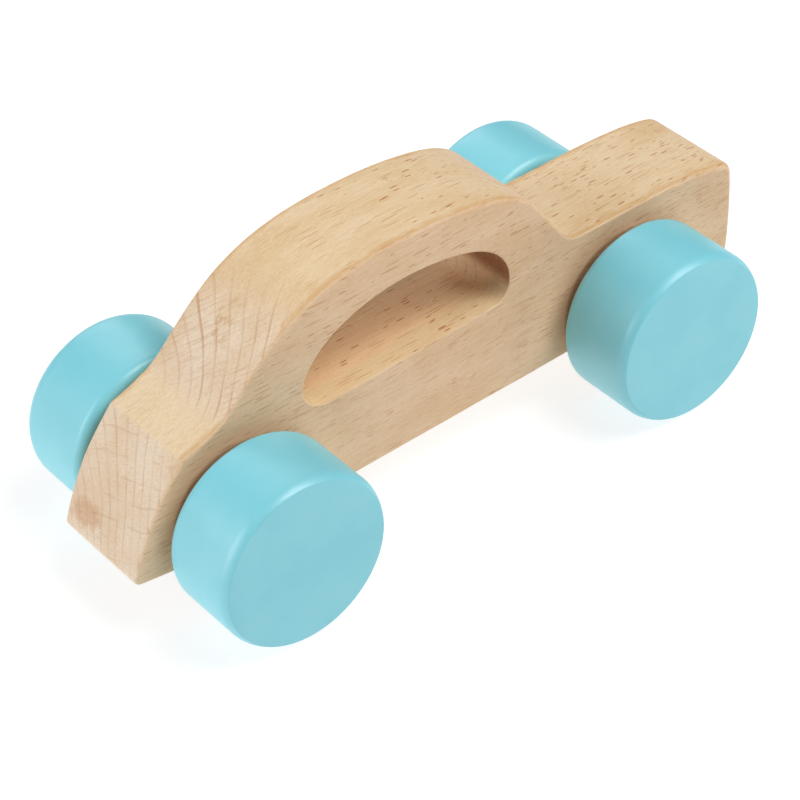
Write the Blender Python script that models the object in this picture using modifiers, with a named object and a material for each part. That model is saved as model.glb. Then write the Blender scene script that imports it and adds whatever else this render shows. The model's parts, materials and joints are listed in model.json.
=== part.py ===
"""Pull-back toy car: a beech body on four painted wooden wheels, with a clockwork motor.

Units are metres. +X points forwards, +Y to the car's left and +Z up. The origin is on the ground, in the
middle of the car's length and width.
"""

from math import acos, atan2, cos, pi, radians, sin, sqrt, tan

import bmesh
import bpy
from mathutils import Matrix, Vector

MM = 0.001

# Driving dimensions, in millimetres
CAR_LENGTH = 162.4
BODY_WIDTH = 25.3
BELLY_Z = 11.6
ROOF_Z = 64.0
EDGE_ROUND = 0.9
AXLE_Z = 20.0
REAR_AXLE_X = -55.0
FRONT_AXLE_X = 48.0

WHEEL_RADIUS = 20.0
WHEEL_WIDTH = 19.6
WHEEL_EDGE = 2.4
WHEEL_INNER_Y = 15.9
WHEEL_BORE_DEPTH = 13.0
WHEEL_STEPS = 36

AXLE_RADIUS = 1.5
AXLE_CHAMFER = 0.3
RUNNING_GAP = 0.1
FIT_GAP = 0.3
ROUND_STEPS = 24
PIN_STEPS = 16
FLAT_ANGLE = radians(0.3)
SHARP_ANGLE = radians(35)
WELD = 0.005
PAST = 5.0

# Clockwork motor, measured from the rear axle
CASE_REAR = -9.2
CASE_FRONT = 24.2
CASE_BOTTOM = -7.4
CASE_TOP = 10.7
CASE_HALF_WIDTH = 9.2
CASE_WALL = 1.2
CASE_SIDE_WALL = 1.6
SPLIT_GAP = 0.1
SPRING_FORWARD = 15.8
SPRING_UP = 1.9
FIRST_GEAR_ANGLE = radians(45)

# Gear teeth
MODULE = 0.5
PRESSURE_ANGLE = radians(25)
ADDENDUM = 0.85
DEDENDUM = 1.15
BACKLASH = 0.07
FLANK_POINTS = 3
ROOT_NARROWING = 0.92
AXLE_PINION_TEETH = 10
LARGE_TEETH = 16
SMALL_TEETH = 9
SPRING_TEETH = 24

# Gear planes: each is (start, end) across the car, +Y to the left
PINION_PLANE = (-7.2, -4.7)
FIRST_LARGE_PLANE = (-7.0, -5.0)
FIRST_SMALL_PLANE = (-5.2, -2.4)
SECOND_LARGE_PLANE = (-4.5, -2.7)
SECOND_SMALL_PLANE = (-2.9, -0.1)
SPRING_GEAR_PLANE = (-2.1, -0.3)

GEAR_PIN_RADIUS = 0.8
GEAR_PIN_DEPTH = 1.0
ARBOR_RADIUS = 1.5

SPRING_INNER_RADIUS = 2.0
SPRING_OUTER_RADIUS = 6.3
SPRING_THICKNESS = 0.3
SPRING_TURNS = 5
SPRING_POINTS_A_TURN = 22
SPRING_PLANE = (0.6, 6.8)

CASE_SCREW_PLACES = {"rear": (-6.6, -4.8), "front": (21.6, 8.1)}
CASE_SCREW_RADIUS = 0.7
CASE_SCREW_HEAD = 1.3
CASE_SCREW_HEAD_HEIGHT = 0.8
CASE_SCREW_POINT_Y = 7.0
CASE_BOSS_RADIUS = 1.6

EAR_LENGTH = 7.0
EAR_HALF_WIDTH = 5.5
EAR_Z = (14.4, 16.0)
EAR_OVERLAP = 1.0
MOTOR_SCREW_RADIUS = 1.1
MOTOR_SCREW_HEAD = 2.2
MOTOR_SCREW_HEAD_HEIGHT = 1.4
MOTOR_SCREW_TIP_Z = 26.0

BUSH_RADIUS = 2.9
BUSH_LENGTH = 9.0
FLANGE_RADIUS = 4.5
FLANGE_THICKNESS = 1.0
WASHER_THICKNESS = 1.4
SPACER_THICKNESS = 2.5
SIDE_PLAY = 0.2
AXLE_CLEARANCE_RADIUS = 2.5

PARTS = bpy.data.collections.new("pull_back_car")
CUTTERS = bpy.data.collections.new("cutters")


# Scene and materials


def start_scene():
    for obj in list(bpy.data.objects):
        bpy.data.objects.remove(obj)
    for collection in (PARTS, CUTTERS):
        bpy.context.scene.collection.children.link(collection)
    CUTTERS.hide_render = True


def make_material(name, colour, roughness, metallic=0.0):
    material = bpy.data.materials.new(name)
    material.use_nodes = True
    shader = material.node_tree.nodes["Principled BSDF"]
    shader.inputs["Base Color"].default_value = (*colour, 1.0)
    shader.inputs["Roughness"].default_value = roughness
    shader.inputs["Metallic"].default_value = metallic
    return material


def make_materials():
    return {
        "beech": make_material("beech", (0.66, 0.46, 0.28), 0.55),
        "paint": make_material("turquoise_paint", (0.22, 0.64, 0.76), 0.38),
        "steel": make_material("steel", (0.62, 0.62, 0.63), 0.3, 1.0),
        "spring_steel": make_material("spring_steel", (0.2, 0.24, 0.34), 0.3, 1.0),
        "case_plastic": make_material("case_plastic", (0.04, 0.04, 0.045), 0.45),
        "gear_plastic": make_material("gear_plastic", (0.85, 0.85, 0.82), 0.4),
        "nylon": make_material("nylon", (0.86, 0.85, 0.8), 0.5),
    }


# Shape helpers. Every length they take is in millimetres


def add_object(name, data, material, collection=PARTS):
    obj = bpy.data.objects.new(name, data)
    collection.objects.link(obj)
    if material:
        obj.data.materials.append(material)
    return obj


def across(x, y, z):
    """Local XY stands upright along the car, and local Z runs across it, to the right."""
    return Matrix.Translation(Vector((x, y, z)) * MM) @ Matrix.Rotation(pi / 2, 4, "X")


def add_mesh(name, shape, material, collection=PARTS):
    mesh = bpy.data.meshes.new(name)
    shape.to_mesh(mesh)
    shape.free()
    return add_object(name, mesh, material, collection)


def add_box(name, low, high, material=None, collection=CUTTERS):
    shape = bmesh.new()
    bmesh.ops.create_cube(shape, size=1.0)
    size = [(b - a) * MM for a, b in zip(low, high)]
    middle = [(a + b) / 2 * MM for a, b in zip(low, high)]
    bmesh.ops.scale(shape, vec=size, verts=shape.verts)
    obj = add_mesh(name, shape, material, collection)
    obj.location = middle
    return obj


def add_rod(name, centre, radius, length, material=None, collection=CUTTERS, steps=ROUND_STEPS):
    """A cylinder that runs across the car."""
    shape = bmesh.new()
    bmesh.ops.create_cone(
        shape, cap_ends=True, segments=steps, radius1=radius * MM, radius2=radius * MM, depth=length * MM
    )
    obj = add_mesh(name, shape, material, collection)
    obj.matrix_world = across(*centre)
    return obj


def add_post(name, centre, radius, length, material=None, collection=CUTTERS, steps=PIN_STEPS):
    """An upright cylinder."""
    obj = add_rod(name, centre, radius, length, material, collection, steps)
    obj.matrix_world = Matrix.Translation(Vector(centre) * MM)
    return obj


def add_turned(name, profile, material, steps):
    """Turns (radius, height) points about local Z; they run down the outer side from top to bottom."""
    shape = bmesh.new()
    points = [shape.verts.new((radius * MM, 0.0, height * MM)) for radius, height in profile]
    for first, second in zip(points, points[1:]):
        shape.edges.new((first, second))
    obj = add_mesh(name, shape, material)
    screw = obj.modifiers.new("turn", "SCREW")
    screw.steps = steps
    screw.render_steps = steps
    screw.use_merge_vertices = True
    screw.merge_threshold = WELD * MM
    return obj


def add_plate(name, points, plane, material=None, collection=PARTS):
    """A flat outline of (x, z) points, as thick as the plane (start, end) across the car."""
    curve = bpy.data.curves.new(name, "CURVE")
    spline = curve.splines.new("POLY")
    spline.points.add(len(points) - 1)
    for point, (x, z) in zip(spline.points, points):
        point.co = (x * MM, z * MM, 0.0, 1.0)
    return solid_from_outline(name, curve, plane, material, collection)


def solid_from_outline(name, curve, plane, material, collection):
    """Extrudes a closed outline across the car and welds its caps into one closed mesh."""
    curve.dimensions = "2D"
    curve.fill_mode = "BOTH"
    curve.extrude = (plane[1] - plane[0]) / 2 * MM
    for spline in curve.splines:
        spline.use_cyclic_u = True
    guide = add_object(name + "_outline", curve, None, CUTTERS)
    guide.matrix_world = across(0.0, (plane[0] + plane[1]) / 2, 0.0)
    bpy.context.view_layer.update()
    evaluated = guide.evaluated_get(bpy.context.evaluated_depsgraph_get())
    mesh = bpy.data.meshes.new_from_object(evaluated)
    shape = bmesh.new()
    shape.from_mesh(mesh)
    bmesh.ops.remove_doubles(shape, verts=shape.verts, dist=WELD * MM)
    bmesh.ops.dissolve_limit(
        shape, angle_limit=FLAT_ANGLE, use_dissolve_boundaries=False, verts=shape.verts, edges=shape.edges
    )
    bmesh.ops.recalc_face_normals(shape, faces=shape.faces)
    shape.to_mesh(mesh)
    shape.free()
    mesh.materials.clear()
    obj = add_object(name, mesh, material, collection)
    obj.matrix_world = guide.matrix_world
    bpy.data.objects.remove(guide)
    return obj


def combine(obj, tool, operation):
    modifier = obj.modifiers.new(tool.name, "BOOLEAN")
    modifier.operation = operation
    modifier.solver = "EXACT"
    modifier.object = tool
    tool.hide_render = True
    tool.display_type = "WIRE"


def cut(obj, *tools):
    for tool in tools:
        combine(obj, tool, "DIFFERENCE")


def join(obj, *tools):
    for tool in tools:
        combine(obj, tool, "UNION")


def shade_round(obj):
    obj.data.shade_smooth()
    obj.data.set_sharp_from_angle(angle=SHARP_ANGLE)


def edge_arc(radius, height, size, start, count=3):
    """Points of a quarter-round edge whose centre is at (radius, height), from the angle start downwards."""
    angles = [start - pi / 2 * i / count for i in range(count + 1)]
    return [(radius + size * cos(a), height + size * sin(a)) for a in angles]


# Body


def smooth_outline(name, knots):
    """A closed Bezier outline of (x, z, heading in, handle in, heading out, handle out) knots."""
    curve = bpy.data.curves.new(name, "CURVE")
    curve.resolution_u = 7
    spline = curve.splines.new("BEZIER")
    spline.bezier_points.add(len(knots) - 1)
    for point, (x, z, heading_in, before, heading_out, after) in zip(spline.bezier_points, knots):
        place = Vector((x, z, 0.0))
        point.handle_left_type = "FREE"
        point.handle_right_type = "FREE"
        point.co = place * MM
        point.handle_left = (place - heading_vector(heading_in) * before) * MM
        point.handle_right = (place + heading_vector(heading_out) * after) * MM
    return curve


def heading_vector(degrees):
    return Vector((cos(radians(degrees)), sin(radians(degrees)), 0.0))


def smooth(x, z, heading, before, after):
    """A knot that the outline runs straight through."""
    return x, z, heading, before, heading, after


def body_outline():
    """The side view, clockwise from the lower rear corner: tail, roof, windscreen, hood, nose and belly."""
    tail = -CAR_LENGTH / 2
    nose = CAR_LENGTH / 2
    return smooth_outline(
        "side_outline",
        [
            (tail - 0.31, BELLY_Z + 2.8, 170, 4.0, 70, 5.0),
            smooth(-75.4, 28.2, 60, 5.0, 5.0),
            (tail + 14.1, 39.35, 49, 5.0, 14, 3.0),
            smooth(-58.6, 41.9, 22, 3.6, 2.6),
            smooth(-51.0, 47.75, 45, 4.2, 4.6),
            smooth(-37.3, 58.45, 27, 5.6, 9.0),
            smooth(-8.8, ROOF_Z, 0, 13.0, 11.0),
            smooth(18.2, 60.05, -24, 6.0, 3.6),
            smooth(25.5, 54.0, -62, 3.0, 2.6),
            smooth(30.9, 45.3, -58, 3.2, 1.7),
            smooth(36.1, 41.25, -3, 2.7, 4.0),
            smooth(57.7, 41.15, -1, 8.0, 8.0),
            smooth(nose - 3.4, 39.3, -14, 7.0, 1.9),
            smooth(nose, 35.3, -90, 2.3, 6.0),
            smooth(nose - 1.4, 17.2, -98, 6.0, 2.6),
            smooth(nose - 6.4, BELLY_Z, 180, 3.0, 20.0),
            smooth(-58.5, BELLY_Z, 180, 20.0, 8.0),
        ],
    )


def grip_outline():
    return smooth_outline(
        "grip_outline",
        [
            smooth(-36.8, 39.3, 88, 2.6, 6.4),
            smooth(-8.8, 54.1, 0, 17.4, 12.8),
            smooth(17.3, 40.2, -90, 10.2, 3.1),
            smooth(13.2, 34.9, 181, 2.1, 8.0),
            smooth(-31.2, 33.9, 179, 8.0, 3.0),
        ],
    )


def make_car_body(material):
    half = BODY_WIDTH / 2
    body = solid_from_outline("car_body", body_outline(), (-half, half), material, PARTS)
    bevel = body.modifiers.new("soft_edges", "BEVEL")
    bevel.width = EDGE_ROUND * MM
    bevel.segments = 2
    bevel.limit_method = "ANGLE"
    bevel.angle_limit = SHARP_ANGLE
    bevel.use_clamp_overlap = False
    past = half + PAST
    cut(
        body,
        solid_from_outline("grip_cutter", grip_outline(), (-past, past), None, CUTTERS),
        add_box(
            "motor_pocket",
            (REAR_AXLE_X + CASE_REAR - FIT_GAP, -CASE_HALF_WIDTH - FIT_GAP, 0.0),
            (REAR_AXLE_X + CASE_FRONT + FIT_GAP, CASE_HALF_WIDTH + FIT_GAP, AXLE_Z + CASE_TOP + FIT_GAP),
        ),
        add_box(
            "ear_rebate",
            (REAR_AXLE_X + CASE_REAR - EAR_LENGTH - FIT_GAP, -EAR_HALF_WIDTH - FIT_GAP, 0.0),
            (REAR_AXLE_X + CASE_FRONT + EAR_LENGTH + FIT_GAP, EAR_HALF_WIDTH + FIT_GAP, EAR_Z[1] + FIT_GAP),
        ),
        add_rod("rear_axle_hole", (REAR_AXLE_X, 0.0, AXLE_Z), AXLE_CLEARANCE_RADIUS, 2 * past),
        add_rod("front_axle_hole", (FRONT_AXLE_X, 0.0, AXLE_Z), BUSH_RADIUS + RUNNING_GAP, 2 * past),
    )
    for end, x in motor_screw_places().items():
        pilot_top = MOTOR_SCREW_TIP_Z + FIT_GAP
        pilot = add_post(
            f"{end}_pilot_hole", (x, 0.0, pilot_top / 2), MOTOR_SCREW_RADIUS + RUNNING_GAP, pilot_top
        )
        cut(body, pilot)
    shade_round(body)


# Wheels and axles


def make_wheel(name, axle_x, side, material):
    """A wheel with a blind bore on its inner side. Local Z points outwards before it is stood up."""
    half = WHEEL_WIDTH / 2
    rim = WHEEL_RADIUS - WHEEL_EDGE
    shoulder = half - WHEEL_EDGE
    bore = AXLE_RADIUS + RUNNING_GAP
    profile = [(0.0, half)]
    profile += edge_arc(rim, shoulder, WHEEL_EDGE, pi / 2)
    profile += edge_arc(rim, -shoulder, WHEEL_EDGE, 0.0)
    profile += [(bore, -half), (bore, WHEEL_BORE_DEPTH - half), (0.0, WHEEL_BORE_DEPTH - half)]
    wheel = add_turned(name, profile, material, WHEEL_STEPS)
    centre_y = side * (WHEEL_INNER_Y + half)
    stand = Matrix.Rotation(-side * pi / 2, 4, "X")
    wheel.matrix_world = Matrix.Translation(Vector((axle_x, centre_y, AXLE_Z)) * MM) @ stand
    shade_round(wheel)


def make_axle(name, axle_x, material):
    half = WHEEL_INNER_Y + WHEEL_BORE_DEPTH - FIT_GAP
    small = AXLE_RADIUS - AXLE_CHAMFER
    profile = [
        (0.0, half),
        (small, half),
        (AXLE_RADIUS, half - AXLE_CHAMFER),
        (AXLE_RADIUS, AXLE_CHAMFER - half),
        (small, -half),
        (0.0, -half),
    ]
    axle = add_turned(name, profile, material, ROUND_STEPS)
    axle.matrix_world = across(axle_x, 0.0, AXLE_Z)
    shade_round(axle)


def make_ring(name, axle_x, side, start, radius, thickness, material):
    """A washer on an axle, from start outwards."""
    bore = AXLE_RADIUS + RUNNING_GAP
    profile = [(radius, thickness), (radius, 0.0), (bore, 0.0), (bore, thickness), (radius, thickness)]
    ring = add_turned(name, profile, material, ROUND_STEPS)
    stand = Matrix.Rotation(-side * pi / 2, 4, "X")
    ring.matrix_world = Matrix.Translation(Vector((axle_x, side * start, AXLE_Z)) * MM) @ stand
    shade_round(ring)


def make_front_bush(name, side, material):
    """A flanged sleeve pressed into the body, which the front axle turns in."""
    face = BODY_WIDTH / 2 + RUNNING_GAP
    bore = AXLE_RADIUS + RUNNING_GAP
    profile = [
        (bore, FLANGE_THICKNESS),
        (FLANGE_RADIUS, FLANGE_THICKNESS),
        (FLANGE_RADIUS, 0.0),
        (BUSH_RADIUS, 0.0),
        (BUSH_RADIUS, -BUSH_LENGTH),
        (bore, -BUSH_LENGTH),
        (bore, FLANGE_THICKNESS),
    ]
    bush = add_turned(name, profile, material, ROUND_STEPS)
    stand = Matrix.Rotation(-side * pi / 2, 4, "X")
    bush.matrix_world = Matrix.Translation(Vector((FRONT_AXLE_X, side * face, AXLE_Z)) * MM) @ stand
    shade_round(bush)


def make_running_gear(materials):
    washer_start = BODY_WIDTH / 2 + RUNNING_GAP + FLANGE_THICKNESS + SIDE_PLAY
    spacer_start = WHEEL_INNER_Y - SIDE_PLAY - SPACER_THICKNESS
    make_axle("rear_axle", REAR_AXLE_X, materials["steel"])
    make_axle("front_axle", FRONT_AXLE_X, materials["steel"])
    for hand, side in (("left", 1), ("right", -1)):
        make_wheel(f"wheel_rear_{hand}", REAR_AXLE_X, side, materials["paint"])
        make_wheel(f"wheel_front_{hand}", FRONT_AXLE_X, side, materials["paint"])
        make_front_bush(f"front_bush_{hand}", side, materials["nylon"])
        make_ring(
            f"front_washer_{hand}", FRONT_AXLE_X, side, washer_start, FLANGE_RADIUS, WASHER_THICKNESS,
            materials["nylon"],
        )
        make_ring(
            f"rear_spacer_{hand}", REAR_AXLE_X, side, spacer_start, FLANGE_RADIUS, SPACER_THICKNESS,
            materials["nylon"],
        )


# Gear train


def involute(angle):
    return tan(angle) - angle


def gear_outline(centre, teeth, phase):
    """Involute teeth. One tooth is centred on the phase angle, measured from +X towards +Z."""
    pitch = MODULE * teeth / 2
    base = pitch * cos(PRESSURE_ANGLE)
    tip = pitch + MODULE * ADDENDUM
    root = pitch - MODULE * DEDENDUM
    half_tooth = pi / 2 / teeth - BACKLASH / (2 * pitch)
    start = max(base, root)
    flank = []
    for i in range(FLANK_POINTS):
        radius = start + (tip - start) * i / (FLANK_POINTS - 1)
        pressure = acos(min(1.0, base / radius))
        flank.append((radius, half_tooth + involute(PRESSURE_ANGLE) - involute(pressure)))
    if root < base:
        flank.insert(0, (root, flank[0][1] * ROOT_NARROWING))
    points = []
    for tooth in range(teeth):
        middle = phase + 2 * pi * tooth / teeth
        points += [(radius, middle - angle) for radius, angle in flank]
        points += [(radius, middle + angle) for radius, angle in reversed(flank)]
    return [(centre[0] + radius * cos(a), centre[1] + radius * sin(a)) for radius, a in points]


def centre_distance(first_teeth, second_teeth):
    return MODULE * (first_teeth + second_teeth) / 2


def below_meeting(start, start_distance, end, end_distance):
    """The lower of the two points at the given distances from start and from end."""
    gap = (end - start).length
    along = (start_distance**2 - end_distance**2 + gap**2) / (2 * gap)
    drop = sqrt(start_distance**2 - along**2)
    forward = (end - start) / gap
    return start + forward * along + Vector((forward.y, -forward.x)) * drop


def gear_centres():
    """The (x, z) centres of the rear axle, the two compound gears and the spring gear."""
    axle = Vector((REAR_AXLE_X, AXLE_Z))
    reach = centre_distance(AXLE_PINION_TEETH, LARGE_TEETH)
    first = axle + Vector((cos(FIRST_GEAR_ANGLE), sin(FIRST_GEAR_ANGLE))) * reach
    spring = axle + Vector((SPRING_FORWARD, SPRING_UP))
    second = below_meeting(
        first,
        centre_distance(SMALL_TEETH, LARGE_TEETH),
        spring,
        centre_distance(SMALL_TEETH, SPRING_TEETH),
    )
    return {"axle": axle, "first": first, "second": second, "spring": spring}


def facing_tooth(start, end):
    """The phase that points a tooth from start at end."""
    return atan2(end.y - start.y, end.x - start.x)


def facing_space(start, end, teeth):
    """The phase that points a tooth space from start at end."""
    return facing_tooth(start, end) + pi / teeth


def bored_plate(name, outline, plane, centre, bore, material):
    plate = add_plate(name, outline, plane, material)
    middle = (centre.x, (plane[0] + plane[1]) / 2, centre.y)
    length = plane[1] - plane[0] + 2 * PAST
    cut(plate, add_rod(f"{name}_bore", middle, bore, length, steps=PIN_STEPS))
    return plate


def make_compound_gear(name, centre, large, small, material):
    """Two toothed wheels in one moulding. Each of large and small is (teeth, phase, plane)."""
    teeth, phase, plane = large
    gear = add_plate(name, gear_outline(centre, teeth, phase), plane, material)
    teeth, phase, plane = small
    join(gear, add_plate(f"{name}_small", gear_outline(centre, teeth, phase), plane, None, CUTTERS))
    bore = add_rod(
        f"{name}_bore",
        (centre.x, 0.0, centre.y),
        GEAR_PIN_RADIUS + RUNNING_GAP,
        2 * CASE_HALF_WIDTH,
        steps=PIN_STEPS,
    )
    cut(gear, bore)


def make_gears(materials):
    plastic = materials["gear_plastic"]
    at = gear_centres()
    bored_plate(
        "axle_pinion",
        gear_outline(at["axle"], AXLE_PINION_TEETH, facing_tooth(at["axle"], at["first"])),
        PINION_PLANE, at["axle"], AXLE_RADIUS + RUNNING_GAP, plastic,
    )
    make_compound_gear(
        "first_gear",
        at["first"],
        (LARGE_TEETH, facing_space(at["first"], at["axle"], LARGE_TEETH), FIRST_LARGE_PLANE),
        (SMALL_TEETH, facing_tooth(at["first"], at["second"]), FIRST_SMALL_PLANE),
        plastic,
    )
    make_compound_gear(
        "second_gear",
        at["second"],
        (LARGE_TEETH, facing_space(at["second"], at["first"], LARGE_TEETH), SECOND_LARGE_PLANE),
        (SMALL_TEETH, facing_tooth(at["second"], at["spring"]), SECOND_SMALL_PLANE),
        plastic,
    )
    bored_plate(
        "spring_gear",
        gear_outline(at["spring"], SPRING_TEETH, facing_space(at["spring"], at["second"], SPRING_TEETH)),
        SPRING_GEAR_PLANE, at["spring"], ARBOR_RADIUS + RUNNING_GAP, plastic,
    )


def make_pins(materials):
    """The fixed pins that the compound gears turn on, and the arbor that turns with the spring gear."""
    at = gear_centres()
    half = CASE_HALF_WIDTH - CASE_SIDE_WALL + GEAR_PIN_DEPTH - RUNNING_GAP
    for name, place, radius in (
        ("gear_pin_1", "first", GEAR_PIN_RADIUS),
        ("gear_pin_2", "second", GEAR_PIN_RADIUS),
        ("spring_arbor", "spring", ARBOR_RADIUS),
    ):
        centre = (at[place].x, 0.0, at[place].y)
        pin = add_rod(name, centre, radius, 2 * half, materials["steel"], PARTS, PIN_STEPS)
        shade_round(pin)


def make_mainspring(material):
    """A flat strip wound round the arbor, drawn as its outer edge and back along its inner edge."""
    centre = gear_centres()["spring"]
    count = SPRING_TURNS * SPRING_POINTS_A_TURN
    outer = []
    inner = []
    for i in range(count + 1):
        share = i / count
        angle = 2 * pi * SPRING_TURNS * share
        radius = SPRING_INNER_RADIUS + (SPRING_OUTER_RADIUS - SPRING_INNER_RADIUS) * share
        ray = Vector((cos(angle), sin(angle)))
        outer.append(centre + ray * (radius + SPRING_THICKNESS))
        inner.append(centre + ray * radius)
    points = [tuple(point) for point in outer + inner[::-1]]
    spring = add_plate("mainspring", points, SPRING_PLANE, material)
    shade_round(spring)


# Motor case and screws


def case_place(forward, up):
    return REAR_AXLE_X + forward, AXLE_Z + up


def motor_screw_places():
    middle = EAR_LENGTH / 2
    return {
        "rear": REAR_AXLE_X + CASE_REAR - middle,
        "front": REAR_AXLE_X + CASE_FRONT + middle,
    }


def make_case_half(hand, side, material):
    """One open half of the motor case, with its screw pillars and the holes for axle, pins and screws."""
    name = f"motor_case_{hand}"
    x0, z0 = case_place(CASE_REAR, CASE_BOTTOM)
    x1, z1 = case_place(CASE_FRONT, CASE_TOP)
    edges = sorted((side * SPLIT_GAP / 2, side * CASE_HALF_WIDTH))
    hollow = sorted((-side * PAST, side * (CASE_HALF_WIDTH - CASE_SIDE_WALL)))
    half = add_box(name, (x0, edges[0], z0), (x1, edges[1], z1), material, PARTS)
    cut(
        half,
        add_box(
            f"{name}_hollow",
            (x0 + CASE_WALL, hollow[0], z0 + CASE_WALL),
            (x1 - CASE_WALL, hollow[1], z1 - CASE_WALL),
        ),
    )
    pillar_length = CASE_HALF_WIDTH - SPLIT_GAP / 2 - CASE_SIDE_WALL / 2
    pillar_y = side * (SPLIT_GAP / 2 + pillar_length / 2)
    for end, (forward, up) in CASE_SCREW_PLACES.items():
        x, z = case_place(forward, up)
        pillar = add_rod(
            f"{name}_{end}_pillar", (x, pillar_y, z), CASE_BOSS_RADIUS, pillar_length, steps=PIN_STEPS
        )
        join(half, pillar)
    if side < 0:
        join_ears(half, name, x0, x1)
    cut_case_holes(half, name, side)


def join_ears(half, name, x0, x1):
    """The screw ears reach past the middle of the car, clear of the other half, and grow out of this half."""
    bottom, top = EAR_Z
    for end, face, out in (("rear", x0, -1), ("front", x1, 1)):
        plate = sorted((face + out * RUNNING_GAP, face + out * EAR_LENGTH))
        root = sorted((face - out * CASE_WALL / 2, face + out * EAR_OVERLAP))
        join(
            half,
            add_box(f"{name}_{end}_ear", (plate[0], -EAR_HALF_WIDTH, bottom), (plate[1], EAR_HALF_WIDTH, top)),
            add_box(f"{name}_{end}_root", (root[0], -EAR_HALF_WIDTH, bottom), (root[1], -SPLIT_GAP, top)),
        )
        hole = add_post(
            f"{name}_{end}_ear_hole",
            (face + out * EAR_LENGTH / 2, 0.0, (bottom + top) / 2),
            MOTOR_SCREW_RADIUS + 2 * RUNNING_GAP,
            2 * PAST,
        )
        cut(half, hole)


def cut_case_holes(half, name, side):
    at = gear_centres()
    axle_hole = add_rod(
        f"{name}_axle_hole",
        (REAR_AXLE_X, side * CASE_HALF_WIDTH, AXLE_Z),
        AXLE_RADIUS + RUNNING_GAP,
        PAST,
    )
    cut(half, axle_hole)
    inner = CASE_HALF_WIDTH - CASE_SIDE_WALL
    sockets = {"first": GEAR_PIN_RADIUS, "second": GEAR_PIN_RADIUS, "spring": ARBOR_RADIUS}
    for place, radius in sockets.items():
        socket = add_rod(
            f"{name}_{place}_socket",
            (at[place].x, side * inner, at[place].y),
            radius + RUNNING_GAP,
            2 * GEAR_PIN_DEPTH,
            steps=PIN_STEPS,
        )
        cut(half, socket)
    for end, (forward, up) in CASE_SCREW_PLACES.items():
        x, z = case_place(forward, up)
        reach = CASE_HALF_WIDTH + PAST if side < 0 else CASE_SCREW_POINT_Y + RUNNING_GAP
        bore = add_rod(
            f"{name}_{end}_bore", (x, 0.0, z), CASE_SCREW_RADIUS + RUNNING_GAP, 2 * reach, steps=PIN_STEPS
        )
        cut(half, bore)
        if side < 0:
            seat = add_rod(
                f"{name}_{end}_seat",
                (x, -CASE_HALF_WIDTH, z),
                CASE_SCREW_HEAD + RUNNING_GAP,
                2 * (CASE_SCREW_HEAD_HEIGHT + RUNNING_GAP),
                steps=PIN_STEPS,
            )
            cut(half, seat)


def cut_cross(screw, name, matrix, width, depth):
    """The cross recess of a screw's head, which is at local Z 0 and faces -Z."""
    for arm, size in (("a", (width, width / 4, depth)), ("b", (width / 4, width, depth))):
        shape = bmesh.new()
        bmesh.ops.create_cube(shape, size=1.0)
        bmesh.ops.scale(shape, vec=Vector(size) * MM, verts=shape.verts)
        slot = add_mesh(f"{name}_cross_{arm}", shape, None, CUTTERS)
        slot.matrix_world = matrix
        cut(screw, slot)


def make_screw(name, matrix, head, shank, head_height, length, material):
    """A pan-head screw. Its head's outer face is at local Z 0, and its point is at local Z length."""
    round_edge = head_height / 2
    profile = [
        (0.0, length),
        (shank, length - 2 * shank),
        (shank, head_height),
        (head, head_height),
        (head, round_edge),
        (head - round_edge, 0.0),
        (0.0, 0.0),
    ]
    screw = add_turned(name, profile, material, PIN_STEPS)
    screw.matrix_world = matrix
    cut_cross(screw, name, matrix, head, head_height)
    shade_round(screw)


def make_screws(material):
    head_z = EAR_Z[0] - RUNNING_GAP - MOTOR_SCREW_HEAD_HEIGHT
    for end, x in motor_screw_places().items():
        make_screw(
            f"motor_screw_{end}",
            Matrix.Translation(Vector((x, 0.0, head_z)) * MM),
            MOTOR_SCREW_HEAD,
            MOTOR_SCREW_RADIUS,
            MOTOR_SCREW_HEAD_HEIGHT,
            MOTOR_SCREW_TIP_Z - head_z,
            material,
        )
    head_y = -CASE_HALF_WIDTH + RUNNING_GAP
    for end, (forward, up) in CASE_SCREW_PLACES.items():
        x, z = case_place(forward, up)
        make_screw(
            f"case_screw_{end}",
            Matrix.Translation(Vector((x, head_y, z)) * MM) @ Matrix.Rotation(-pi / 2, 4, "X"),
            CASE_SCREW_HEAD,
            CASE_SCREW_RADIUS,
            CASE_SCREW_HEAD_HEIGHT,
            CASE_SCREW_POINT_Y - head_y,
            material,
        )


def main():
    start_scene()
    materials = make_materials()
    make_car_body(materials["beech"])
    make_running_gear(materials)
    make_gears(materials)
    make_pins(materials)
    make_mainspring(materials["spring_steel"])
    make_case_half("left", 1, materials["case_plastic"])
    make_case_half("right", -1, materials["case_plastic"])
    make_screws(materials["steel"])


main()
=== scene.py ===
"""The looks of a wooden pull-back car: beech body, painted wheels, running gear and clockwork motor.

+X is the front of the car, +Y its left and +Z up. The frame is in metres. Lengths in this file are in
millimetres unless a name ends in _M.
"""

import json
from math import ceil, cos, pi, radians, sin, tan

import bmesh
import bpy
from mathutils import Matrix, Vector, noise
from mathutils.geometry import interpolate_bezier


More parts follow.
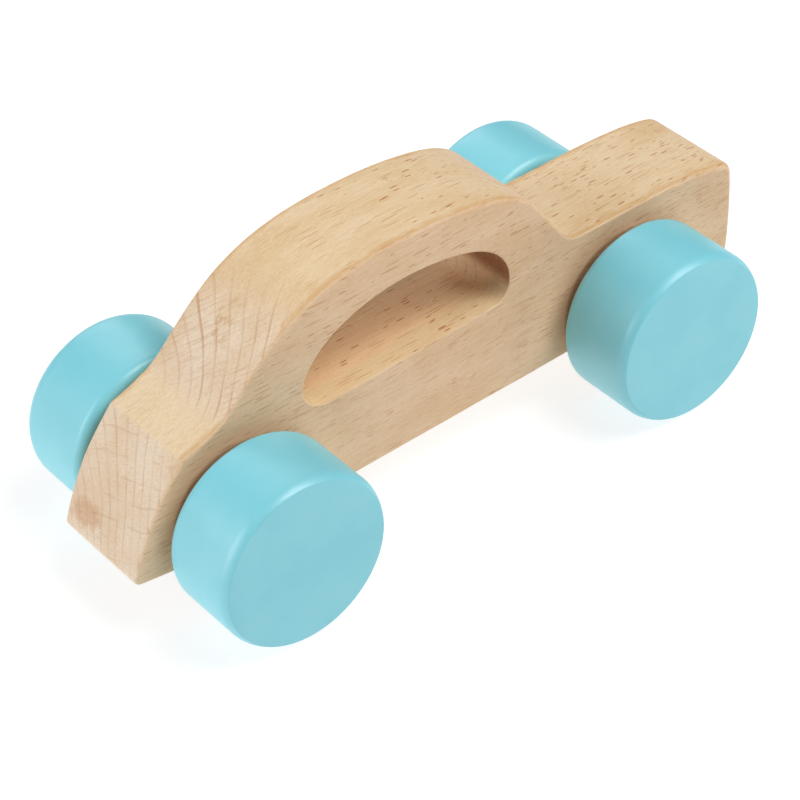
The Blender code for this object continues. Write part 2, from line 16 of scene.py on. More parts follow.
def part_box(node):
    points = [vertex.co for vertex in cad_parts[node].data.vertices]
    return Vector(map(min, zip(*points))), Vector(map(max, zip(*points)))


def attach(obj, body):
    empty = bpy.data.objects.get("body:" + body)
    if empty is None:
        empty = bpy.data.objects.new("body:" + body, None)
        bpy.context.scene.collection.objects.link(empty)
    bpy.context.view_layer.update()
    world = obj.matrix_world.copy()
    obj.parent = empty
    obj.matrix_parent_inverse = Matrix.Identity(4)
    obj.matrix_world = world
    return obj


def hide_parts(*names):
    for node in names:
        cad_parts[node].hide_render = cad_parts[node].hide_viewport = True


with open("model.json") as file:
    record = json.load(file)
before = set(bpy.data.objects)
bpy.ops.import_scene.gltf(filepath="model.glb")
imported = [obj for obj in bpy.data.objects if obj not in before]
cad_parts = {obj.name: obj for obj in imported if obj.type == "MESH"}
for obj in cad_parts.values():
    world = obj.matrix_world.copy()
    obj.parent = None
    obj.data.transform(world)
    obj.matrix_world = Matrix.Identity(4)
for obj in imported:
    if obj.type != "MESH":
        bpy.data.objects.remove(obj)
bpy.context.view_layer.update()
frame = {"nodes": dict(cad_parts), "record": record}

MM = 0.001

# Camera and studio
VIEW_AZIMUTH = radians(-35.719)
VIEW_ELEVATION = radians(39.667)
VIEW_ROLL = radians(-4.505)
VIEW_TARGET = Vector((-0.75, 4.73, 6.57))
VIEW_DISTANCE = 633.9
LENS = 131.83
FLOOR_SIZE_M = 40.0
FLOOR_GLOW = 0.8
SOFTBOX_SIZE_M = 0.6
SOFTBOX_AIM_M = Vector((0.0, 0.0, 0.03))
# Each softbox's place in metres and its power in watts
SOFTBOXES = {
    "left_softbox": ((-0.85, 0.35, 0.5), 2.6),
    "low_left_softbox": ((-0.9, 0.2, 0.3), 3.5),
    "back_softbox": ((0.3, 0.9, 0.6), 2.9),
    "top_softbox": ((0.3, -0.4, 0.9), 9.2),
    "front_softbox": ((0.6, -0.7, 0.5), 0.9),
}

# The heart of the tree runs along X, past the car's left side. The growth rings lie about it, and the rays
# cross them. HEART_DISTANCE is how far the middle of the wood lies from the heart
HEART = (0.0, 30.0, 9.0)
HEART_DISTANCE = 43.0
RING_SPACING = 2.5
RAY_SPACING = 3.9
RAY_SLOPE = 0.33
RAY_ARCH = 0.006


# The CAD sizes that the fine pieces are built around


def node_box(name):
    low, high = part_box(name)
    return low / MM, high / MM


BODY_LOW, BODY_HIGH = node_box("car_body")
TAIL_X = BODY_LOW.x
NOSE_X = BODY_HIGH.x
BELLY_Z = BODY_LOW.z
ROOF_Z = BODY_HIGH.z
HALF_WIDTH = BODY_HIGH.y
GRIP_FLOOR_Z = 33.9
# An ellipsoid that holds the walls of the grip opening
GRIP_CENTRE = (-9.7, 0.0, 40.0)
GRIP_REACH = (28.0, 40.0, 14.5)
TAIL_STAIN = (TAIL_X + 2.5, 7.0, 20.0)
TAIL_STAIN_SIZE = (6.0, 7.0, 4.4)
ROOF_STAIN = (-43.0, 1.0, 53.0)
ROOF_STAIN_SIZE = (11.0, 6.0, 9.0)


def axle_place(name):
    low, high = node_box(name)
    return (low.x + high.x) / 2, (low.z + high.z) / 2


REAR_AXLE = axle_place("rear_axle")
FRONT_AXLE = axle_place("front_axle")


# Shader graphs


class Graph:
    """A material's node tree. Wherever a value is asked for, another node's output may be given instead."""

    def __init__(self, name):
        self.material = bpy.data.materials.new(name)
        self.material.use_nodes = True
        self.tree = self.material.node_tree
        self.shader = self.tree.nodes["Principled BSDF"]

    def add(self, kind, inputs, **settings):
        node = self.tree.nodes.new(kind)
        for name, value in settings.items():
            setattr(node, name, value)
        for socket, value in inputs.items():
            self.feed(node.inputs[socket], value)
        return node

    def feed(self, socket, value):
        if isinstance(value, bpy.types.NodeSocket):
            self.tree.links.new(value, socket)
        else:
            socket.default_value = value

    def surface(self, **values):
        for name, value in values.items():
            self.feed(self.shader.inputs[name.replace("_", " ").title()], value)

    def coordinates(self, output):
        return self.add("ShaderNodeTexCoord", {}).outputs[output]

    def position(self):
        """The place on the piece, in millimetres."""
        return self.cells(self.coordinates("Object"), (MM, MM, MM))

    def math(self, operation, first, second=0.0):
        return self.add("ShaderNodeMath", {0: first, 1: second}, operation=operation).outputs[0]

    def vector(self, operation, first, second=(0.0, 0.0, 0.0)):
        node = self.add("ShaderNodeVectorMath", {0: first, 1: second}, operation=operation)
        return node.outputs["Value" if operation in ("DOT_PRODUCT", "LENGTH") else "Vector"]

    def split(self, vector):
        return self.add("ShaderNodeSeparateXYZ", {0: vector}).outputs

    def join(self, x, y, z):
        return self.add("ShaderNodeCombineXYZ", {0: x, 1: y, 2: z}).outputs[0]

    def cells(self, vector, size):
        """The vector measured in cells of this (x, y, z) size."""
        return self.vector("DIVIDE", vector, size)

    def noise(self, vector, size, detail=2.0, roughness=0.5, output="Fac"):
        node = self.add(
            "ShaderNodeTexNoise",
            {"Vector": self.cells(vector, size), "Scale": 1.0, "Detail": detail, "Roughness": roughness},
        )
        return node.outputs[output]

    def voronoi(self, vector, size):
        """The distance to the point of the cell, and a number from 0 to 1 that each cell picks for itself."""
        node = self.add("ShaderNodeTexVoronoi", {"Vector": self.cells(vector, size), "Scale": 1.0})
        return node.outputs["Distance"], self.split(node.outputs["Color"])[0]

    def ramp(self, value, start, end, low=0.0, high=1.0):
        """low up to start, high from end on, and a smooth step between them. start may be above end."""
        if start > end:
            start, end, low, high = end, start, high, low
        node = self.add(
            "ShaderNodeMapRange",
            {"Value": value, "From Min": start, "From Max": end, "To Min": low, "To Max": high},
            interpolation_type="SMOOTHSTEP",
        )
        return node.outputs[0]

    def mix(self, factor, first, second):
        node = self.add("ShaderNodeMix", {}, data_type="RGBA")
        self.feed(node.inputs["Factor"], factor)
        for socket, value in zip([s for s in node.inputs if s.type == "RGBA"], (first, second)):
            self.feed(socket, value)
        return [s for s in node.outputs if s.type == "RGBA"][0]

    def bump(self, height, distance, strength):
        inputs = {"Height": height, "Distance": distance * MM, "Strength": strength}
        return self.add("ShaderNodeBump", inputs).outputs[0]


def colour(red, green, blue):
    """A colour of the scene from its 0 to 255 screen values."""
    def linear(value):
        share = value / 255
        return share / 12.92 if share <= 0.04045 else ((share + 0.055) / 1.055) ** 2.4

    return linear(red), linear(green), linear(blue), 1.0


# Wood

WOOD_TOP = (colour(226, 203, 167), colour(217, 188, 144))
WOOD_DECK = colour(229, 210, 177)
WOOD_SIDE = (colour(227, 196, 162), colour(219, 184, 146))
WOOD_REAR = (colour(229, 213, 192), colour(222, 200, 172))
WOOD_FRONT = (colour(223, 197, 170), colour(215, 187, 157))
WOOD_GRIP = colour(221, 197, 152)
# Painted warm bounce light deep inside the grip
WOOD_GRIP_PAINTED_BOUNCE = colour(243, 209, 160)
# Painted light: the side of the body paler and warmer round the wheels
WOOD_WHEEL_PAINTED_LIGHT = colour(242, 208, 170)
# Painted shade on the grip's walls, overhead and towards its front end
WOOD_GRIP_PAINTED_SHADE = colour(218, 141, 92)
# Deeper painted shade at the grip's front end
WOOD_GRIP_PAINTED_DEEP_SHADE = colour(104, 50, 26)
# Painted shadow in the narrow gap beside each wheel
WOOD_WHEEL_PAINTED_SHADOW = colour(112, 72, 50)
WOOD_AMBER = colour(205, 158, 100)
WOOD_FIBRE = colour(202, 156, 106)
WOOD_LIGHT = colour(243, 221, 190)
WOOD_PORE = colour(188, 138, 90)
WOOD_STAIN = colour(192, 136, 90)
WOOD_SMUDGE = colour(184, 140, 74)
WOOD_RING = colour(178, 116, 62)
WOOD_DASH = colour(172, 90, 38)

# How much of its colour each kind of figure lays over the wood
FIBRE_SHARE = 0.28
LIGHT_SHARE = 0.22
PORE_SHARE = 0.2
STAIN_SHARE = 0.5
SMUDGE_SHARE = 0.45
SCRATCH_SHARE = 0.24
RAY_SHARE = 0.22
REAR_RING_SHARE = 0.34
ROOF_RING_SHARE = 0.54
FRONT_RING_SHARE = 0.5
SMALL_DASH_SHARE = 0.4
TOP_DASH_SHARE = 0.85
SIDE_DASH_SHARE = 0.42
DECK_SHARE = 0.75
# Shares of the painted light round the wheels and of the painted shadow beside them
WHEEL_PAINTED_LIGHT_SHARE = 0.9
WHEEL_PAINTED_SHADOW_SHARE = 0.7
GRIP_SHARE = 0.8
# Shares of the painted shade in the grip, and of the deeper painted shade at its front end
GRIP_PAINTED_SHADE_SHARE = 0.9
GRIP_PAINTED_DEEP_SHADE_SHARE = 0.8

# Sizes of the figure along X, away from the heart and round it
FIBRE_SIZE = (7.0, 0.5, 0.3)
FLECK_SIZE = (1.6, 0.6, 0.26)
DASH_CELL = (4.4, 9.0, 0.42)
SMALL_DASH_CELL = (8.5, 6.0, 0.34)
SMALL_DASH_SHIFT = (17.0, 5.0, 3.0)

# Sizes of the figure along X, Y and Z
BEND_SIZE = (70.0, 24.0, 24.0)
PORE_SIZE = (0.6, 0.3, 0.3)
CLOUD_SIZE = (22.0, 9.0, 9.0)
SMUDGE_SIZE = (3.6, 2.6, 2.6)
EDGE_SIZE = (5.0, 3.0, 3.0)
BELLY_DASH_CELL = (5.2, 0.9, 9.0)
RAY_CELL = (7.0, 3.4, 0.36)

# The longest and the shortest dash, as shares of a cell
DASH_REACH = (0.29, 0.17)
SMALL_DASH_REACH = (0.36, 0.2)
RAY_REACH = (0.34, 0.2)

# How many of the cells have a dash
SMALL_DASH_CROWD = 0.6
BELLY_DASH_CROWD = 0.35
RAY_CROWD = 0.9

# Sanding scratches run slantwise on the steep faces: across them, along them, and their sizes
SCRATCH_ACROSS = (0.56, -0.62, 0.56)
SCRATCH_ALONG = (0.44, 0.78, 0.44)
SCRATCH_SIZE = (9.0, 0.35, 6.0)

# Distances from an axle between which painted light makes the side of the body paler and warmer, and where a
# thin painted shadow lies beside a wheel
WHEEL_PAINTED_LIGHT_RING = (30.0, 21.0)
WHEEL_PAINTED_SHADOW_RING = (16.7, 15.4)

# Heights between which the rear face below gives way to the steep roof above
ROOF_START = (40.0, 46.0)


def spot(g, place, centre, size, ragged):
    """A soft patch about a point: 1 in its middle and 0 outside. Its outline is broken up by noise."""
    reach = g.vector("LENGTH", g.cells(g.vector("SUBTRACT", place, centre), size))
    rough = g.math("SUBTRACT", g.noise(place, (2.5, 2.0, 2.0), detail=3.0), 0.5)
    return g.ramp(g.math("ADD", reach, g.math("MULTIPLY", rough, ragged)), 1.0, 0.3)


def dashes(g, place, cell, reaches, crowd):
    """Thin dashes along X, at most one to a cell. crowd is how many of the cells have one."""
    longest, shortest = reaches
    distance, pick = g.voronoi(place, cell)
    reach = g.ramp(g.math("FRACT", g.math("MULTIPLY", pick, 7.0)), 0.0, 1.0, shortest, longest)
    drawn = g.ramp(g.math("DIVIDE", distance, reach), 1.0, 0.75)
    return g.math("MULTIPLY", drawn, g.math("LESS_THAN", pick, crowd))


def growth_rings(g, place, radius, end_grain):
    """A soft darker line at the end of each year, clearest on end grain."""
    wander = g.noise(place, (70.0, 26.0, 15.0), detail=1.0)
    years = g.math("ADD", g.math("DIVIDE", radius, RING_SPACING), g.math("MULTIPLY", wander, 1.2))
    year = g.math("FRACT", years)
    line = g.math("MULTIPLY", g.ramp(year, 0.7, 0.89), g.ramp(year, 1.0, 0.91))
    ring_number = g.math("FLOOR", years)
    along = g.math("DIVIDE", g.split(place)[2], 7.0)
    weight = g.noise(g.join(g.math("MULTIPLY", ring_number, 3.7), along, 0.0), (1.0, 1.0, 1.0))
    line = g.math("MULTIPLY", line, g.ramp(weight, 0.38, 0.7, 0.3, 1.0))
    return g.math("MULTIPLY", line, g.ramp(end_grain, 0.0, 1.0, 0.1, 1.0))


def rays(g, place, end_grain):
    """A few long thin arcs and many short ones that cross the rings on end grain, mostly below the roof."""
    x, y, z = g.split(place)[0:3]
    arch = g.math("MULTIPLY", y, g.math("ADD", g.math("MULTIPLY", y, RAY_ARCH), RAY_SLOPE))
    level = g.math("ADD", z, arch)
    wander = g.math("MULTIPLY", g.noise(place, (40.0, 14.0, 9.0), detail=1.0), 1.1)
    place_in_spacing = g.math("FRACT", g.math("ADD", g.math("DIVIDE", level, RAY_SPACING), wander))
    line = g.ramp(g.math("ABSOLUTE", g.math("SUBTRACT", place_in_spacing, 0.5)), 0.085, 0.0)
    seen = g.ramp(g.noise(place, (9.0, 6.0, 2.4), detail=1.0), 0.42, 0.58)
    short = dashes(g, g.join(x, y, level), RAY_CELL, RAY_REACH, RAY_CROWD)
    line = g.math("MAXIMUM", g.math("MULTIPLY", line, seen), g.math("MULTIPLY", short, 0.6))
    below_roof = g.ramp(z, *ROOF_START, 1.0, 0.15)
    return g.math("MULTIPLY", g.math("MULTIPLY", line, end_grain), below_roof)


def paint_light_and_shadow_near_wheels(g, base, x, z, side):
    """Painted light makes the side of the body paler and warmer round the wheels, and a thin painted shadow
    lies right beside them.
    """
    near_wheel = g.math("MINIMUM", *[
        g.vector("LENGTH", g.join(g.math("SUBTRACT", x, axle[0]), 0.0, g.math("SUBTRACT", z, axle[1])))
        for axle in (REAR_AXLE, FRONT_AXLE)
    ])
    # Painted light: a paler, warmer side round each wheel
    painted_light_near_wheel = g.math("MULTIPLY", g.ramp(near_wheel, *WHEEL_PAINTED_LIGHT_RING), side)
    base = g.mix(g.math("MULTIPLY", painted_light_near_wheel, WHEEL_PAINTED_LIGHT_SHARE), base, WOOD_WHEEL_PAINTED_LIGHT)
    # Painted shadow: a thin dark line right beside each wheel
    painted_shadow_near_wheel = g.math("MULTIPLY", g.ramp(near_wheel, *WHEEL_PAINTED_SHADOW_RING), side)
    return g.mix(g.math("MULTIPLY", painted_shadow_near_wheel, WHEEL_PAINTED_SHADOW_SHARE), base, WOOD_WHEEL_PAINTED_SHADOW)


def tint_grip_with_painted_light_and_shade(g, base, place, side, upward):
    """The grip's walls get their own colour, with painted warm bounce light deep inside and painted shade
    overhead and at the front end.
    """
    x, y = g.split(place)[0:2]
    from_centre = g.cells(g.vector("SUBTRACT", place, GRIP_CENTRE), GRIP_REACH)
    inside = g.math("MULTIPLY", g.ramp(g.vector("LENGTH", from_centre), 1.12, 1.06), g.ramp(side, 0.5, 0.0))
    # Painted warm bounce light deep inside the grip, away from both sides
    painted_bounce = g.ramp(g.math("ABSOLUTE", y), 9.0, 5.0)
    wall_colour = g.mix(painted_bounce, WOOD_GRIP, WOOD_GRIP_PAINTED_BOUNCE)
    base = g.mix(g.math("MULTIPLY", inside, GRIP_SHARE), base, wall_colour)
    # Painted shade on the grip's walls that face sideways or down, stronger towards the front
    grip_painted_shade = g.math("MULTIPLY", inside, g.ramp(x, -45.0, 15.0, 0.3, 1.0))
    grip_painted_shade = g.math("MULTIPLY", grip_painted_shade, g.ramp(upward, 0.45, -0.1))
    base = g.mix(g.math("MULTIPLY", grip_painted_shade, GRIP_PAINTED_SHADE_SHARE), base, WOOD_GRIP_PAINTED_SHADE)
    # Deeper painted shade at the grip's front end
    grip_painted_deep_shade = g.math("MULTIPLY", grip_painted_shade, g.ramp(x, -14.0, 8.0))
    return g.mix(g.math("MULTIPLY", grip_painted_deep_shade, GRIP_PAINTED_DEEP_SHADE_SHARE), base, WOOD_GRIP_PAINTED_DEEP_SHADE)


def amber_edge(g, place, side, outside, end_grain):
    """How far the wood is darkened by sanding along the upper edges of the body."""
    ragged = g.math("SUBTRACT", g.noise(place, EDGE_SIZE, detail=4.0), 0.5)
    across = g.math("ADD", g.math("ABSOLUTE", g.split(place)[1]), g.math("MULTIPLY", ragged, 3.0))
    edge = g.ramp(across, HALF_WIDTH - 2.0, HALF_WIDTH - 0.6)
    edge = g.math("MULTIPLY", g.math("MULTIPLY", edge, outside), g.ramp(side, 0.2, 0.9, 1.0, 0.0))
    return g.math("MULTIPLY", edge, g.ramp(end_grain, 0.0, 1.0, 0.6, 0.15))


def beech():
    """Fine-sanded beech, with its grain along X."""
    g = Graph("beech")
    place = g.position()
    wander = g.noise(place, BEND_SIZE, detail=0.0, output="Color")
    wander = g.vector("MULTIPLY", g.vector("SUBTRACT", wander, (0.5, 0.5, 0.5)), (0.0, 3.0, 3.0))
    bent = g.vector("ADD", place, wander)
    x, y, z = g.split(place)[0:3]
    from_heart = g.vector("MULTIPLY", g.vector("SUBTRACT", bent, HEART), (0.0, 1.0, 1.0))
    radius = g.vector("LENGTH", from_heart)
    turn = g.math("ARCTAN2", g.split(from_heart)[2], g.split(from_heart)[1])
    ribbons = g.join(x, radius, g.math("MULTIPLY", turn, HEART_DISTANCE))

    # Where a face looks: end grain faces along X, and the sides face along Y
    normal = g.coordinates("Normal")
    forward, _, upward = g.split(normal)[0:3]
    facing = g.split(g.vector("ABSOLUTE", normal))
    end_grain = g.ramp(facing[0], 0.3, 0.72)
    along_grain = g.ramp(facing[0], 0.12, 0.45, 1.0, 0.08)
    front = g.ramp(forward, 0.2, 0.6)
    side = g.ramp(facing[1], 0.3, 0.95)
    outside = g.math("MULTIPLY", g.ramp(upward, 0.0, 0.3), g.ramp(z, GRIP_FLOOR_Z + 2.0, GRIP_FLOOR_Z + 4.0))
    belly = g.math("MULTIPLY", g.ramp(upward, -0.2, -0.7), g.ramp(z, BELLY_Z + 4.0, BELLY_Z + 2.0))
    not_belly = g.ramp(belly, 1.0, 0.0)

    # Dashes crowd towards the front and on the sides. On the belly they are narrow the other way
    crowd = g.ramp(x, -30.0, 36.0, 0.03, 0.8)
    crowd = g.math("MAXIMUM", crowd, g.ramp(side, 0.0, 1.0, 0.0, 0.45))
    crowd = g.math("MAXIMUM", crowd, g.ramp(outside, 0.0, 1.0, 0.28, 0.0))
    dash = g.math("MULTIPLY", dashes(g, ribbons, DASH_CELL, DASH_REACH, crowd), not_belly)
    belly_dash = g.math("MULTIPLY", dashes(g, place, BELLY_DASH_CELL, DASH_REACH, BELLY_DASH_CROWD), belly)
    dash = g.math("MAXIMUM", dash, belly_dash)
    shifted = g.vector("ADD", ribbons, SMALL_DASH_SHIFT)
    small_dash = dashes(g, shifted, SMALL_DASH_CELL, SMALL_DASH_REACH, SMALL_DASH_CROWD)
    small_dash = g.math("MULTIPLY", small_dash, not_belly)

    # Other lines and marks
    ring = growth_rings(g, place, radius, end_grain)
    ray = rays(g, place, end_grain)
    fibre = g.noise(ribbons, FIBRE_SIZE, detail=3.0, roughness=0.6)
    fleck = g.noise(ribbons, FLECK_SIZE, detail=2.0, roughness=0.7)
    pores = g.noise(bent, PORE_SIZE, detail=2.0, roughness=0.7)
    across, along = [g.vector("DOT_PRODUCT", place, way) for way in (SCRATCH_ACROSS, SCRATCH_ALONG)]
    slant = g.join(across, along, y)
    steep = g.math("MULTIPLY", end_grain, g.ramp(z, *ROOF_START))
    scratch = g.math("MULTIPLY", g.ramp(g.noise(slant, SCRATCH_SIZE, detail=2.0), 0.53, 0.64), steep)
    smudge = g.math("MULTIPLY", spot(g, place, ROOF_STAIN, ROOF_STAIN_SIZE, 1.2), g.ramp(pores, 0.3, 0.55))
    smudge = g.math("MULTIPLY", smudge, g.ramp(g.noise(place, SMUDGE_SIZE, detail=1.0), 0.48, 0.66))
    stain = spot(g, place, TAIL_STAIN, TAIL_STAIN_SIZE, 1.4)

    # The bare wood, which is yellower on top and pinker at the ends and on the sides
    tone = g.ramp(g.noise(place, CLOUD_SIZE, detail=3.0), 0.35, 0.68)
    top_colour = g.mix(g.ramp(x, -50.0, -58.0, 0.0, DECK_SHARE), g.mix(tone, *WOOD_TOP), WOOD_DECK)
    base = g.mix(side, top_colour, g.mix(tone, *WOOD_SIDE))
    base = g.mix(end_grain, base, g.mix(front, g.mix(tone, *WOOD_REAR), g.mix(tone, *WOOD_FRONT)))
    # Painted light round the wheels and painted shadow beside them
    base = paint_light_and_shadow_near_wheels(g, base, x, z, side)
    # The grip's wall colour, with painted bounce light and painted shade inside it
    base = tint_grip_with_painted_light_and_shade(g, base, place, side, upward)
    base = g.mix(amber_edge(g, place, side, outside, end_grain), base, WOOD_AMBER)

    # Fine figure
    base = g.mix(g.ramp(fibre, 0.35, 0.7, 0.0, FIBRE_SHARE), base, WOOD_FIBRE)
    base = g.mix(g.ramp(fleck, 0.4, 0.75, 0.0, LIGHT_SHARE), base, WOOD_LIGHT)
    base = g.mix(g.ramp(pores, 0.45, 0.75, 0.0, PORE_SHARE), base, WOOD_PORE)
    base = g.mix(g.math("MULTIPLY", stain, STAIN_SHARE), base, WOOD_STAIN)
    base = g.mix(g.math("MULTIPLY", smudge, SMUDGE_SHARE), base, WOOD_SMUDGE)
    base = g.mix(g.math("MULTIPLY", scratch, SCRATCH_SHARE), base, WOOD_RING)
    ring_share = g.ramp(front, 0.0, 1.0, REAR_RING_SHARE, FRONT_RING_SHARE)
    ring_share = g.math("MAXIMUM", ring_share, g.ramp(z, *ROOF_START, REAR_RING_SHARE, ROOF_RING_SHARE))
    base = g.mix(g.math("MULTIPLY", ring, ring_share), base, WOOD_RING)
    base = g.mix(g.math("MULTIPLY", ray, RAY_SHARE), base, WOOD_RING)
    small_dash_share = g.ramp(along_grain, 0.0, 1.0, 0.0, SMALL_DASH_SHARE)
    base = g.mix(g.math("MULTIPLY", small_dash, small_dash_share), base, WOOD_RING)
    dash_share = g.math("MULTIPLY", along_grain, g.ramp(side, 0.0, 1.0, TOP_DASH_SHARE, SIDE_DASH_SHARE))
    base = g.mix(g.math("MULTIPLY", dash, dash_share), base, WOOD_DASH)

    relief = g.math("SUBTRACT", g.math("MULTIPLY", fibre, 0.35), g.math("MULTIPLY", dash, 0.3))
    relief = g.math("SUBTRACT", relief, g.math("MULTIPLY", small_dash, 0.2))
    roughness = g.ramp(fibre, 0.25, 0.75, 0.50, 0.62)
    g.surface(base_color=base, roughness=roughness, normal=g.bump(relief, 0.05, 0.6))
    g.shader.inputs["Specular IOR Level"].default_value = 0.3
    return g.material


# Paint, metal and plastics


PAINT = (colour(128, 208, 221), colour(122, 204, 218))
PAINT_GRAIN = colour(138, 216, 230)
PAINT_SPECK = colour(80, 160, 182)


def turquoise_paint():
    """Satin paint on wood, with a fine orange peel, slow ripples and a few specks of dust."""
    g = Graph("turquoise_paint")
    place = g.position()
    peel = g.noise(place, (0.9, 0.9, 0.9), detail=2.0)
    ripple = g.noise(place, (7.0, 5.0, 7.0), detail=2.0)
    distance, pick = g.voronoi(place, (2.6, 2.6, 2.6))
    speck = g.math("MULTIPLY", g.ramp(distance, 0.07, 0.02), g.ramp(pick, 0.86, 0.9))
    cloud = g.noise(place, (12.0, 12.0, 12.0), detail=3.0)
    grain = g.noise(place, (0.25, 0.25, 0.25), detail=1.0)
    base = g.mix(g.ramp(cloud, 0.3, 0.7), *PAINT)
    base = g.mix(g.ramp(grain, 0.35, 0.7, 0.0, 0.12), base, PAINT_GRAIN)
    base = g.mix(g.math("MULTIPLY", speck, 0.35), base, PAINT_SPECK)
    relief = g.math("ADD", g.math("MULTIPLY", peel, 0.25), g.math("MULTIPLY", ripple, 1.0))
    relief = g.math("ADD", relief, g.math("MULTIPLY", speck, 0.6))
    roughness = g.ramp(cloud, 0.3, 0.7, 0.44, 0.52)
    g.surface(base_color=base, roughness=roughness, normal=g.bump(relief, 0.05, 0.5))
    g.shader.inputs["Specular IOR Level"].default_value = 0.8
    g.shader.inputs["Coat Weight"].default_value = 0.2
    g.shader.inputs["Coat Roughness"].default_value = 0.22
    return g.material


def metal(name, tint, dark, roughness, along):
    """Drawn metal, with a dulled patch here and there and faint marks. along is the size of a mark."""
    g = Graph(name)
    place = g.position()
    marks = g.noise(place, along, detail=3.0, roughness=0.6)
    dull = g.noise(place, (3.0, 3.0, 3.0), detail=3.0)
    base = g.mix(g.ramp(dull, 0.4, 0.75), tint, dark)
    g.surface(
        base_color=base,
        roughness=g.ramp(marks, 0.25, 0.75, roughness - 0.06, roughness + 0.1),
        normal=g.bump(marks, 0.02, 0.4),
    )
    g.shader.inputs["Metallic"].default_value = 1.0
    return g.material


def plastic(name, tint, shade, roughness, grain_size):
    """Moulded plastic with a spark-eroded texture and slight clouding."""
    g = Graph(name)
    place = g.position()
    texture = g.noise(place, (grain_size,) * 3, detail=3.0, roughness=0.6)
    cloud = g.noise(place, (5.0, 5.0, 5.0), detail=2.0)
    g.surface(
        base_color=g.mix(g.ramp(cloud, 0.3, 0.7), tint, shade),
        roughness=g.ramp(texture, 0.3, 0.7, roughness - 0.06, roughness + 0.08),
        normal=g.bump(texture, 0.04, 0.5),
    )
    return g.material


MATERIALS = {
    "beech": beech(),
    "turquoise_paint": turquoise_paint(),
    "steel": metal("steel", colour(205, 205, 208), colour(172, 172, 177), 0.3, (0.3, 14.0, 0.3)),
    "spring_steel": metal("spring_steel", colour(96, 110, 146), colour(70, 78, 104), 0.3, (0.4, 9.0, 0.4)),
    "case_plastic": plastic("case_plastic", colour(47, 47, 50), colour(41, 41, 44), 0.46, 0.3),
    "gear_plastic": plastic("gear_plastic", colour(238, 237, 231), colour(228, 227, 219), 0.4, 0.5),
    "nylon": plastic("nylon", colour(238, 235, 224), colour(228, 224, 210), 0.48, 0.4),
}


# Building pieces


def add_piece(name, shape, slot, body, *replaced):
    """Makes a piece from a finished bmesh, in metres in the frame's own coordinates."""
    mesh = bpy.data.meshes.new(name)
    shape.to_mesh(mesh)
    shape.free()
    mesh.materials.append(MATERIALS[slot])
    obj = bpy.data.objects.new(name, mesh)
    bpy.context.scene.collection.objects.link(obj)
    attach(obj, body)
    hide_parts(*replaced)
    return obj


# Length of a round corner's handles on the sides away from the round
CORNER_HANDLE = 4.0


def heading(degrees):
    return Vector((cos(radians(degrees)), sin(radians(degrees))))


def knot(x, z, direction, before, after, edge):
    """A point that the outline runs through: handle lengths before and after it, and its edge radius."""
    along = heading(direction)
    place = Vector((x, z))
    return place, place - along * before, place + along * after, edge


def corner(x, z, direction_in, direction_out, radius, edge):
    """Two knots that round a corner."""
    turn = abs(radians(direction_out - direction_in))
    reach = radius * tan(turn / 2)
    handle = radius * 4 / 3 * tan(turn / 4)
    before = Vector((x, z)) - heading(direction_in) * reach
    after = Vector((x, z)) + heading(direction_out) * reach
    return [
        knot(before.x, before.y, direction_in, CORNER_HANDLE, handle, edge),
        knot(after.x, after.y, direction_out, handle, CORNER_HANDLE, edge),
    ]


def body_knots():
    """The side view, clockwise from the lower rear corner: tail, roof, windscreen, hood, nose and belly."""
    return [
        *corner(TAIL_X - 0.5, BELLY_Z + 2.65, 170, 71, 1.6, 0.9),
        knot(-75.4, 28.2, 60, 5.0, 4.5, 1.0),
        *corner(TAIL_X + 14.2, 39.25, 49, 14, 1.8, 1.6),
        knot(-58.6, 41.9, 22, 3.0, 2.6, 0.9),
        knot(-51.0, 47.75, 45, 4.2, 4.6, 0.8),
        knot(-37.3, 58.45, 27, 5.6, 9.0, 1.0),
        knot(-8.8, ROOF_Z, 0, 13.0, 11.0, 1.0),
        knot(18.2, 60.05, -24, 6.0, 3.6, 1.0),
        knot(25.5, 54.0, -62, 3.0, 2.6, 0.8),
        knot(30.9, 45.3, -58, 3.2, 1.7, 0.5),
        knot(36.1, 41.25, -3, 2.7, 4.0, 0.5),
        knot(57.7, 41.15, -1, 8.0, 8.0, 0.6),
        knot(NOSE_X - 3.4, 39.3, -14, 7.0, 1.9, 1.6),
        knot(NOSE_X, 35.3, -90, 2.3, 6.0, 2.0),
        knot(NOSE_X - 1.4, 17.2, -98, 6.0, 2.6, 1.2),
        knot(NOSE_X - 6.4, BELLY_Z, 180, 3.0, 20.0, 0.9),
        knot(-58.5, BELLY_Z, 180, 20.0, 8.0, 0.9),
    ]


def grip_knots():
    return [
        knot(-36.8, 39.3, 88, 2.6, 6.4, 0.5),
        knot(-8.8, 54.1, 0, 17.4, 12.8, 0.4),
        knot(17.3, 40.2, -90, 10.2, 3.1, 0.4),
        knot(13.2, 34.9, 181, 2.1, 8.0, 0.4),
        knot(-31.2, 33.9, 179, 8.0, 3.0, 0.4),
    ]


# Spacing of the outline's points and the fewest between knots, facets round an edge, and how much and how
# slowly an edge's radius wanders
OUTLINE_STEP = 0.7
FEWEST_POINTS = 6
ROUND_RINGS = 8
EDGE_WANDER = 0.18
EDGE_WANDER_LENGTH = 14.0


def outline_points(knots):
    """Points close together along the outline, each with its edge radius."""
    points = []
    for (start, _, leave, first), (end, arrive, _, second) in zip(knots, knots[1:] + knots[:1]):
        count = max(FEWEST_POINTS, ceil((end - start).length / OUTLINE_STEP))
        stretch = interpolate_bezier(start, leave, arrive, end, count + 1)[:-1]
        points += [(p.copy(), first + (second - first) * i / count) for i, p in enumerate(stretch)]
    return points


